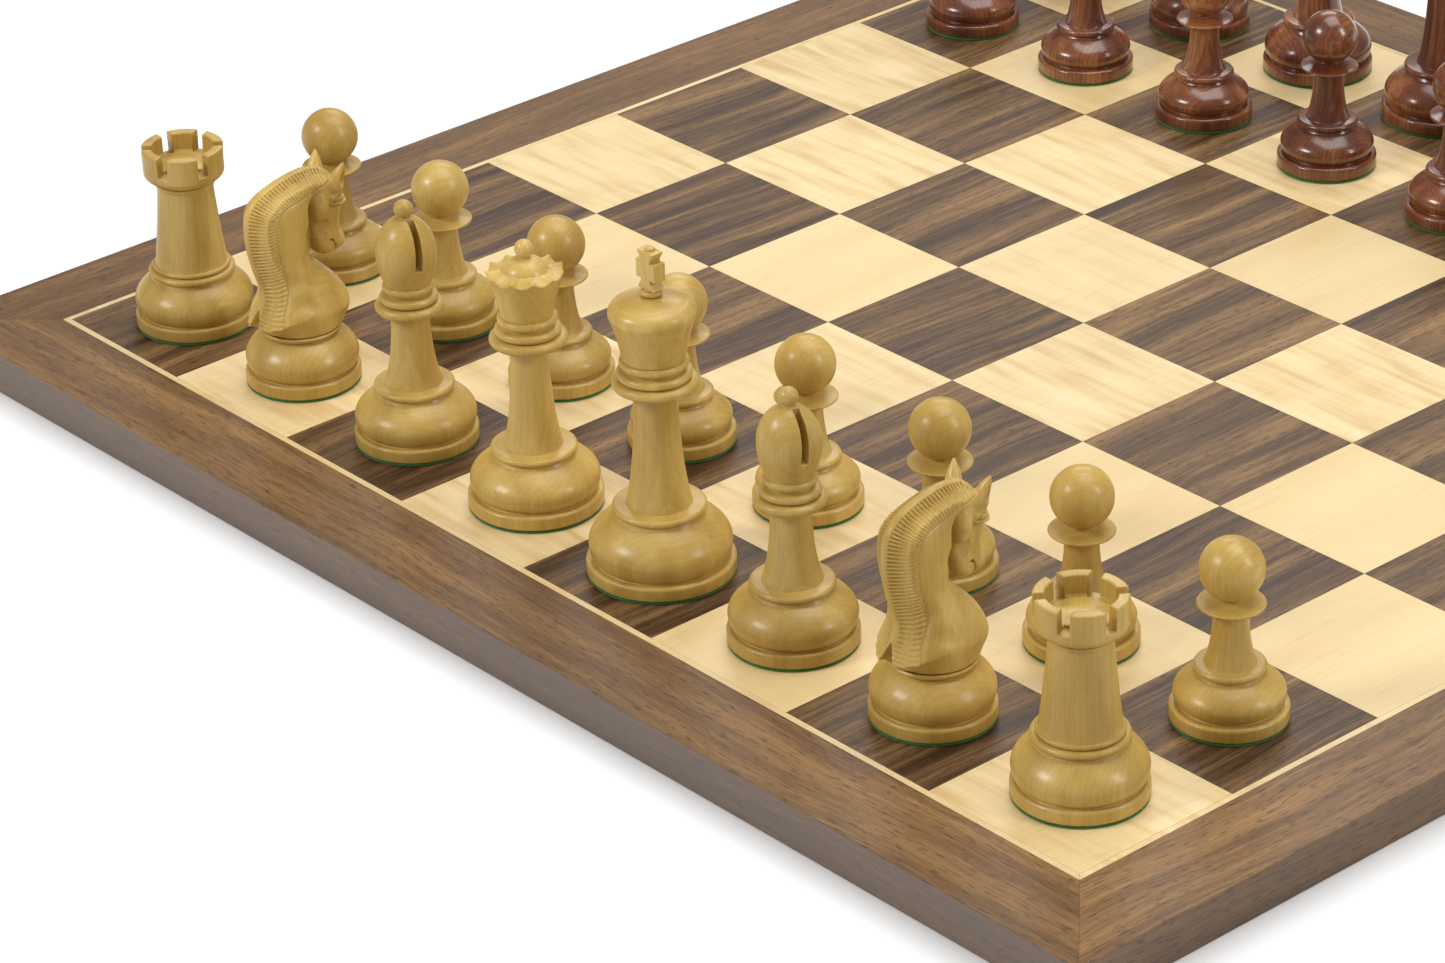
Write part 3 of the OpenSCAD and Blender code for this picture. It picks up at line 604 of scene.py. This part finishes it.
def knight_head_shape():
    """Carved head: the relief on both sides, the crest's ridge, the split tails of the mane and the ears."""
    step = 0.12
    ys, zs = np.arange(-21, 20, step), np.arange(KNIGHT_Z - 1.5, 70, step)
    grids = knight_relief(*np.meshgrid(ys, zs, indexing="ij"))

    def sampled(y, z):
        u = np.clip((y - ys[0]) / step, 0, len(ys) - 1.001)
        v = np.clip((z - zs[0]) / step, 0, len(zs) - 1.001)
        i, j = u.astype(int), v.astype(int)
        u, v = u - i, v - j
        return [(g[i, j] * (1 - u) * (1 - v) + g[i + 1, j] * u * (1 - v)
                 + g[i, j + 1] * (1 - u) * v + g[i + 1, j + 1] * u * v) for g in grids]

    def horn(x, y, z, root, tip, r0, r1):
        """Pointed ear from root to tip, its radius falling from r0 to r1."""
        axis = np.array(tip, float) - np.array(root)
        x, y, z = x - root[0], y - root[1], z - root[2]
        t = np.clip((x * axis[0] + y * axis[1] + z * axis[2]) / (axis @ axis), 0, 1)
        d = np.sqrt((x - t * axis[0]) ** 2 + (y - t * axis[1]) ** 2 + (z - t * axis[2]) ** 2)
        return (d - (r0 + (r1 - r0) * t ** 2)) * 0.9

    def field(x, y, z):
        a, r, depth, crest = sampled(y, z)
        x = np.abs(x)
        lean = 1 - np.clip(depth / r, -1, 1)
        f = (np.sqrt((x / a) ** 2 + lean ** 2) - 1) * np.minimum(a, r)
        ridge = np.maximum(np.maximum(x - 0.75, -depth), crest - 1.4)
        f = smin(f, ridge, 0.25)
        tails = smax(x - 0.45 * (27.5 - z), y + 13.4 + 0.12 * (z - 20), 0.4)
        f = smax(f, -tails, 0.5)
        f = smin(f, horn(x, y, z, (4.9, 12.6, 61.0), (6.7, 14.6, 67.8), 2.5, 0.5), 1.0)
        f = smax(f, -horn(x, y, z, (7.0, 14.0, 62.2), (7.9, 15.0, 67.0), 1.5, 0.3), 0.3)
        return smax(f, KNIGHT_Z - z, 0.9)

    return surface_nets(field, (-13.4, -20.4, KNIGHT_Z - 0.8), (13.4, 19.2, 69.2), 0.3)


SHAPES = {"pawn": pawn_shape, "rook": rook_shape, "knight": knight_base_shape, "bishop": bishop_shape,
          "queen": queen_shape, "king": king_shape, "cross": cross_shape, "head": knight_head_shape}


# ---------- materials ----------

class Tree:
    """Short names for building a material's nodes."""

    def __init__(self, name):
        self.mat = bpy.data.materials.new(name)
        self.mat.use_nodes = True
        self.nodes = self.mat.node_tree.nodes
        self.links = self.mat.node_tree.links
        self.shader = self.nodes["Principled BSDF"]

    def node(self, kind, **given):
        """New node with the given settings."""
        n = self.nodes.new(kind)
        for key, value in given.items():
            setattr(n, key, value)
        return n

    def put(self, value, socket):
        """Link another node's output to the socket, or set the socket's value."""
        if isinstance(value, bpy.types.NodeSocket):
            self.links.new(value, socket)
        elif value is not None:
            socket.default_value = value

    def math(self, op, a, b=None):
        n = self.node("ShaderNodeMath", operation=op)
        self.put(a, n.inputs[0])
        self.put(b, n.inputs[1])
        return n.outputs[0]

    def add(self, a, b):
        return self.math("ADD", a, b)

    def times(self, a, b):
        return self.math("MULTIPLY", a, b)

    def about_half(self, value, amount):
        """A texture's value taken about its middle, times the amount."""
        return self.times(self.math("SUBTRACT", value, 0.5), amount)

    def vmath(self, op, a, b=None):
        n = self.node("ShaderNodeVectorMath", operation=op)
        self.put(a, n.inputs[0])
        self.put(b, n.inputs[1])
        return n.outputs[0]

    def scaled(self, vector, scale):
        return self.vmath("MULTIPLY", vector, scale)

    def noise(self, vector, scale, detail=2, rough=0.5, distortion=0.0):
        n = self.node("ShaderNodeTexNoise")
        self.put(vector, n.inputs["Vector"])
        n.inputs["Scale"].default_value = scale
        n.inputs["Detail"].default_value = detail
        n.inputs["Roughness"].default_value = rough
        n.inputs["Distortion"].default_value = distortion
        return n.outputs["Fac"]

    def ramp(self, fac, stops):
        """Colours, or greys given as one number, between the stops (position, colour)."""
        n = self.node("ShaderNodeValToRGB")
        self.put(fac, n.inputs[0])
        e = n.color_ramp.elements
        while len(e) < len(stops):
            e.new(0.5)
        for k, (pos, col) in enumerate(stops):
            e[k].position = pos
            e[k].color = (*col, 1) if isinstance(col, tuple) else (col, col, col, 1)
        return n.outputs[0]

    def mix(self, fac, a, b, blend="MIX"):
        n = self.node("ShaderNodeMix", data_type="RGBA", blend_type=blend)
        self.put(fac, n.inputs[0])
        self.put(a if isinstance(a, bpy.types.NodeSocket) else (*a, 1), n.inputs[6])
        self.put(b if isinstance(b, bpy.types.NodeSocket) else (*b, 1), n.inputs[7])
        return n.outputs[2]

    def tint(self, base, value):
        """Base colour times a value that is the same in red, green and blue."""
        return self.mix(1.0, base, self.vector(value, value, value), "MULTIPLY")

    def span(self, value, a, b, c, d):
        """Value from a to b spread over c to d."""
        n = self.node("ShaderNodeMapRange")
        for k, v in enumerate((value, a, b, c, d)):
            self.put(v, n.inputs[k])
        return n.outputs[0]

    def split(self, vector):
        n = self.node("ShaderNodeSeparateXYZ")
        self.put(vector, n.inputs[0])
        return n.outputs

    def vector(self, x, y, z):
        n = self.node("ShaderNodeCombineXYZ")
        for k, v in enumerate((x, y, z)):
            self.put(v, n.inputs[k])
        return n.outputs[0]

    def coords(self):
        return self.node("ShaderNodeTexCoord").outputs["Object"]

    def random_offset(self, spread):
        """Offset and colour that differ from object to object."""
        info = self.node("ShaderNodeObjectInfo")
        white = self.node("ShaderNodeTexWhiteNoise", noise_dimensions="1D")
        self.put(info.outputs["Random"], white.inputs["W"])
        return self.scaled(white.outputs["Color"], (spread,) * 3), white.outputs["Color"]

    def bump(self, height, strength, distance):
        n = self.node("ShaderNodeBump")
        n.inputs["Strength"].default_value = strength
        n.inputs["Distance"].default_value = distance
        self.put(height, n.inputs["Height"])
        self.put(n.outputs[0], self.shader.inputs["Normal"])

    def finish(self, colour, roughness, coat=0.0, coat_rough=0.1, specular=0.5):
        """Set the shader and return the material."""
        self.put(colour, self.shader.inputs["Base Color"])
        self.put(roughness, self.shader.inputs["Roughness"])
        self.shader.inputs["Coat Weight"].default_value = coat
        self.shader.inputs["Coat Roughness"].default_value = coat_rough
        self.shader.inputs["Specular IOR Level"].default_value = specular
        return self.mat


# Growth rings in a metre of the turned men's wood
RINGS = 700


def turned_wood(name, deep, mid, pale, streak, streak_amount, rough, coat, figure):
    """Solid wood with its grain running up the piece; figure sets how much its growth rings show."""
    t = Tree(name)
    offset, colour = t.random_offset(3.0)
    p = t.vmath("ADD", t.coords(), offset)
    xyz = t.split(t.coords())
    rgb = t.split(colour)
    # the tree's heart lies beside the piece and leans a little
    x = t.add(xyz[0], t.span(rgb[0], 0, 1, 0.02, 0.05))
    y = t.add(xyz[1], t.span(rgb[1], 0, 1, -0.03, 0.03))
    x = t.add(x, t.times(xyz[2], 0.03))
    radius = t.math("SQRT", t.add(t.times(x, x), t.times(y, y)))
    warp = t.noise(t.scaled(p, (1, 1, 0.15)), 30, 3, 0.5)
    rings = t.add(t.times(radius, RINGS), t.times(warp, 9))
    band = t.ramp(t.math("FRACT", rings), [(0.0, 0.0), (0.7, 0.6), (0.92, 1.0), (1.0, 0.0)])
    broad = t.noise(t.scaled(p, (1, 1, 0.22)), 75, 3, 0.55)
    fibre = t.noise(t.scaled(p, (1, 1, 0.03)), 2400, 3, 0.6)
    fac = t.add(t.add(t.times(broad, 0.8), t.times(band, figure)), t.times(fibre, 0.2))
    base = t.ramp(fac, [(0.36, pale), (0.53, mid), (0.72, deep)])
    flecks = t.noise(t.scaled(p, (1, 1, 0.05)), 1500, 2, 0.5)
    dark = t.times(t.ramp(flecks, [(0.56, 0.0), (0.7, 1.0)]), streak_amount)
    base = t.tint(t.mix(dark, base, streak), t.span(rgb[2], 0, 1, 0.92, 1.08))
    t.bump(fibre, 0.1, 0.0001)
    return t.finish(base, t.span(broad, 0.3, 0.7, rough - 0.05, rough + 0.07), coat, 0.16, 0.4)


def felt(name):
    """Green baize."""
    t = Tree(name)
    p = t.coords()
    fuzz = t.noise(p, 2600, 3, 0.7)
    clump = t.noise(p, 420, 2, 0.6)
    colour = t.ramp(t.add(t.times(fuzz, 0.7), t.times(clump, 0.3)),
                    [(0.3, (0.012, 0.085, 0.016)), (0.7, (0.045, 0.24, 0.045))])
    t.bump(fuzz, 0.8, 0.0004)
    t.shader.inputs["Sheen Weight"].default_value = 0.4
    return t.finish(colour, 0.95, specular=0.15)


def cell_seed(t, p):
    """The white-noise colour of the square that point p lies on."""
    per_metre = 1 / (SQUARE * MM)
    cell = t.vmath("FLOOR", t.vmath("ADD", t.scaled(p, (per_metre, per_metre, 0)), (4, 4, 0.5)))
    white = t.node("ShaderNodeTexWhiteNoise", noise_dimensions="3D")
    t.put(cell, white.inputs["Vector"])
    return white.outputs["Color"]


def walnut(name, along, squares, tone=1.0, painted_reflection=0.0, figure=1.0):
    """Walnut veneer with its grain along the X (0) or Y (1) axis; the fifth argument mixes in a painted grey
    reflection.
    """
    t = Tree(name)
    p = t.coords()
    if squares:
        colour = cell_seed(t, p)
    else:
        _, colour = t.random_offset(1.0)
    rgb = t.split(colour)
    x, y, z = t.split(t.vmath("ADD", p, t.scaled(colour, (7, 7, 7))))
    length, width = (x, y) if along == 0 else (y, x)
    if not squares:
        width = t.add(width, z)
    bend = t.noise(t.vector(length, width, 0.0), 9, 2, 0.5)
    g = t.vector(length, t.add(width, t.times(bend, 0.014)), 0.0)
    bands = t.noise(t.scaled(g, (0.06, 1, 1)), 110, 2, 0.5)
    streaks = t.noise(t.scaled(g, (0.035, 1, 1)), 480, 4, 0.65)
    fine = t.noise(t.scaled(g, (0.03, 1, 1)), 2200, 3, 0.6)
    fac = t.add(t.about_half(bands, 0.75 * figure), 0.5)
    fac = t.add(fac, t.about_half(streaks, 0.6 * figure))
    fac = t.add(fac, t.about_half(fine, 0.3))
    fac = t.add(fac, t.span(rgb[0], 0, 1, -0.04, 0.04))

    def shade(r, g, b):
        return (r * tone, g * tone, b * tone)

    base = t.ramp(fac, [(0.34, shade(0.048, 0.022, 0.008)), (0.48, shade(0.125, 0.065, 0.025)),
                        (0.60, shade(0.235, 0.13, 0.05)), (0.74, shade(0.37, 0.22, 0.09))])
    pore = t.ramp(t.noise(t.scaled(g, (0.13, 1, 1)), 1500, 1, 0.5), [(0.60, 0.0), (0.66, 1.0)])
    base = t.mix(t.times(pore, 0.6), base, shade(0.03, 0.014, 0.008))
    # painted reflection: a flat grey mixed into the colour stands in for the white floor reflected in the
    # board's edges
    if painted_reflection:
        base = t.mix(painted_reflection, base, (0.3, 0.27, 0.26))
    t.bump(t.times(pore, -1.0), 0.25, 0.00008)
    return t.finish(base, t.span(bands, 0.3, 0.7, 0.42, 0.52), 0.08, 0.3, 0.28)


def maple(name):
    """Pale maple veneer; some sheets are plain, others rippled across the grain."""
    t = Tree(name)
    p = t.coords()
    seed = cell_seed(t, p)
    rgb = t.split(seed)
    q = t.vmath("ADD", p, t.scaled(seed, (5, 5, 5)))
    x, y, _ = t.split(q)
    bend = t.noise(q, 12, 2, 0.5)
    g = t.vector(y, t.add(x, t.times(bend, 0.01)), 0.0)
    cloud = t.noise(t.scaled(g, (0.25, 1, 1)), 40, 1, 0.5)
    lines = t.noise(t.scaled(g, (0.035, 1, 1)), 150, 2, 0.5)
    fine = t.noise(t.scaled(g, (0.03, 1, 1)), 2300, 3, 0.6)
    ripple = t.noise(t.scaled(g, (1, 0.13, 1)), 210, 1, 0.5, 0.3)
    fac = t.add(t.about_half(ripple, t.span(rgb[1], 0.35, 0.85, 0.06, 0.75)), 0.5)
    fac = t.add(fac, t.about_half(cloud, 0.35))
    base = t.ramp(fac, [(0.3, (0.66, 0.45, 0.19)), (0.5, (0.80, 0.61, 0.31)), (0.7, (0.88, 0.70, 0.40))])
    grain = t.ramp(lines, [(0.468, 0.0), (0.485, 1.0), (0.502, 0.0)])
    base = t.mix(t.times(grain, 0.12), base, (0.45, 0.25, 0.08))
    hair = t.ramp(fine, [(0.45, 0.0), (0.7, 1.0)])
    base = t.mix(t.times(hair, 0.14), base, (0.5, 0.3, 0.11))
    base = t.tint(base, t.span(rgb[2], 0, 1, 0.93, 1.03))
    t.bump(fine, 0.05, 0.00005)
    return t.finish(base, t.span(ripple, 0.3, 0.7, 0.42, 0.5), 0.15, 0.3, 0.35)


def panel(name):
    """Core board, seen nowhere but under the veneers."""
    t = Tree(name)
    n = t.noise(t.coords(), 900, 4, 0.7)
    return t.finish(t.ramp(n, [(0.3, (0.3, 0.2, 0.11)), (0.7, (0.55, 0.4, 0.25))]), 0.8)


BOXWOOD = turned_wood("boxwood", (0.39, 0.23, 0.043), (0.51, 0.325, 0.072), (0.62, 0.43, 0.125),
                      (0.24, 0.12, 0.03), 0.1, 0.40, 0.18, 0.06)
ROSEWOOD = turned_wood("rosewood", (0.085, 0.018, 0.007), (0.20, 0.058, 0.02), (0.42, 0.17, 0.06),
                       (0.035, 0.008, 0.004), 0.3, 0.27, 0.7, 0.1)
BAIZE = felt("green_baize")
MAPLE = maple("maple_veneer")
WALNUT_SQ = walnut("walnut_squares_veneer", 1, True, 0.88)
WALNUT_X = walnut("walnut_border_x", 0, False, 1.25, 0, 0.45)
WALNUT_Y = walnut("walnut_border_y", 1, False, 1.25, 0, 0.45)
# painted light: the front and back edges get more painted grey reflection, the left and right edges are
# painted darker with less of it; besides the grain's direction, that is the only difference between them
WALNUT_EDGE_X = walnut("walnut_edge_x", 0, False, 0.95, 0.3, 0.3)
WALNUT_EDGE_Y = walnut("walnut_edge_y", 1, False, 0.8, 0.1, 0.3)
PANEL = panel("core_panel")
BOARD = {
    "board_core": PANEL, "backing_veneer": WALNUT_X,
    "maple_squares": MAPLE, "walnut_squares": WALNUT_SQ, "inlaid_line": MAPLE,
    "border_front": WALNUT_X, "border_back": WALNUT_X, "border_left": WALNUT_Y, "border_right": WALNUT_Y,
    "edge_front": WALNUT_EDGE_X, "edge_back": WALNUT_EDGE_X,
    "edge_left": WALNUT_EDGE_Y, "edge_right": WALNUT_EDGE_Y,
}

for name, material in BOARD.items():
    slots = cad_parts[name].data.materials
    slots.clear()
    slots.append(material)


# ---------- placing the men ----------

# Each army's material and the CAD's name for it
WOODS = {"white": (BOXWOOD, "boxwood"), "black": (ROSEWOOD, "rosewood")}
TURNS = {"white": 0, "black": math.pi}
# Thickness of the baize, in mm
PAD_T = 0.85
made = {}


def shape(kind, army):
    """Mesh of one kind of man in one army's wood, made once."""
    if kind not in made:
        verts, faces = SHAPES[kind]()
        made[kind] = new_mesh(kind, np.asarray(verts) * MM, faces)
    key = (kind, army)
    if key not in made:
        made[key] = made[kind].copy()
        made[key].name = f"{army}_{kind}"
        made[key].materials.append(WOODS[army][0])
    return made[key]


def pad_mesh(kind):
    """Baize pad under one kind of man, made once for each size."""
    base = FEET[kind][0]
    key = ("pad", base)
    if key not in made:
        r = base / 2 - 0.2
        outline = dots([0, 0.0], [r - 0.1, 0.0], [r + 0.15, 0.4], [r, PAD_T], [0, PAD_T])
        verts, faces = lathe(eased([outline], 0.2), 96)
        made[key] = new_mesh(f"pad_{base}", verts * MM, faces)
        made[key].materials.append(BAIZE)
    return made[key]


def link(name, data):
    obj = bpy.data.objects.new(name, data)
    bpy.context.scene.collection.objects.link(obj)
    return obj


def stand(name, mesh, place, body, node=None):
    """Put a piece on its body, in place of a CAD node if one is named."""
    obj = link(name, mesh)
    obj.matrix_world = place
    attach(obj, body)
    if node:
        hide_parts(node)


for army, rank, kinds in (("white", 1, OFFICERS), ("white", 2, ["pawn"] * 8),
                          ("black", 7, ["pawn"] * 8), ("black", 8, OFFICERS)):
    for f, kind in enumerate(kinds):
        body = f"{army}_{kind}_{FILES[f]}{rank}"
        place = (Matrix.Translation(((f - 3.5) * SQUARE * MM, (rank - 4.5) * SQUARE * MM, TOP * MM))
                 @ Matrix.Rotation(TURNS[army], 4, "Z"))
        stand(body + ".wood", shape(kind, army), place, body, body)
        stand(body + ".pad", pad_mesh(kind), place, body)
        if kind == "knight":
            stand(body + ".carving", shape("head", army), place, body, body + "_head")
        if kind == "king":
            stand(body + ".cross", shape("cross", army), place, body, body + "_cross")


# ---------- floor, light and camera ----------

FLOOR = 6
sheet = bpy.data.meshes.new("floor")
sheet.from_pydata([(-FLOOR, -FLOOR, 0), (FLOOR, -FLOOR, 0), (FLOOR, FLOOR, 0), (-FLOOR, FLOOR, 0)],
                  [], [(0, 1, 2, 3)])
floor = link("floor", sheet)
floor.location.z = -0.0002
paint = Tree("floor_paint")
spots = paint.noise(paint.coords(), 40, 2, 0.5)
white = paint.ramp(spots, [(0.3, (0.9, 0.9, 0.9)), (0.7, (0.92, 0.92, 0.92))])
sheet.materials.append(paint.finish(white, 0.7, specular=0.2))

world = bpy.data.worlds.new("studio")
world.use_nodes = True
bpy.context.scene.world = world
world.node_tree.nodes["Background"].inputs[0].default_value = (1.0, 0.99, 0.97, 1)
world.node_tree.nodes["Background"].inputs[1].default_value = 0.24


def softbox(name, place, size, power):
    """Rectangular lamp, in metres and watts, turned to the board's centre."""
    lamp = bpy.data.lights.new(name, "AREA")
    lamp.shape = "RECTANGLE"
    lamp.size, lamp.size_y = size
    lamp.energy = power
    obj = link(name, lamp)
    obj.location = place
    obj.rotation_mode = "QUATERNION"
    obj.rotation_quaternion = (-obj.location).to_track_quat("-Z", "Y")


softbox("softbox_left", (-0.6, -1.7, 1.3), (0.7, 0.5), 21)
softbox("softbox_right", (1.9, 0.7, 1.2), (0.5, 1.0), 17)
softbox("softbox_back", (-1.5, 1.5, 1.6), (1.4, 0.8), 12)
softbox("softbox_top", (0.1, 0.35, 2.2), (1.7, 1.7), 33)

# The camera's place in metres; the columns of its turn are its right, up and back
CAMERA_PLACE = (0.984362, -0.982753, 0.700086)
CAMERA_TURN = Matrix(((0.6588575, -0.3366489, 0.6727364), (0.7517293, 0.3284658, -0.5718508),
                      (-0.0284580, 0.8824838, 0.4694810)))
view = bpy.data.cameras.new("camera")
view.lens = 126.795
view.sensor_width = 36
view.sensor_fit = "HORIZONTAL"
view.clip_start, view.clip_end = 0.05, 60
camera = link("camera", view)
camera.matrix_world = Matrix.Translation(CAMERA_PLACE) @ CAMERA_TURN.to_4x4()
bpy.context.scene.camera = camera
bpy.context.scene.view_settings.view_transform = "Standard"
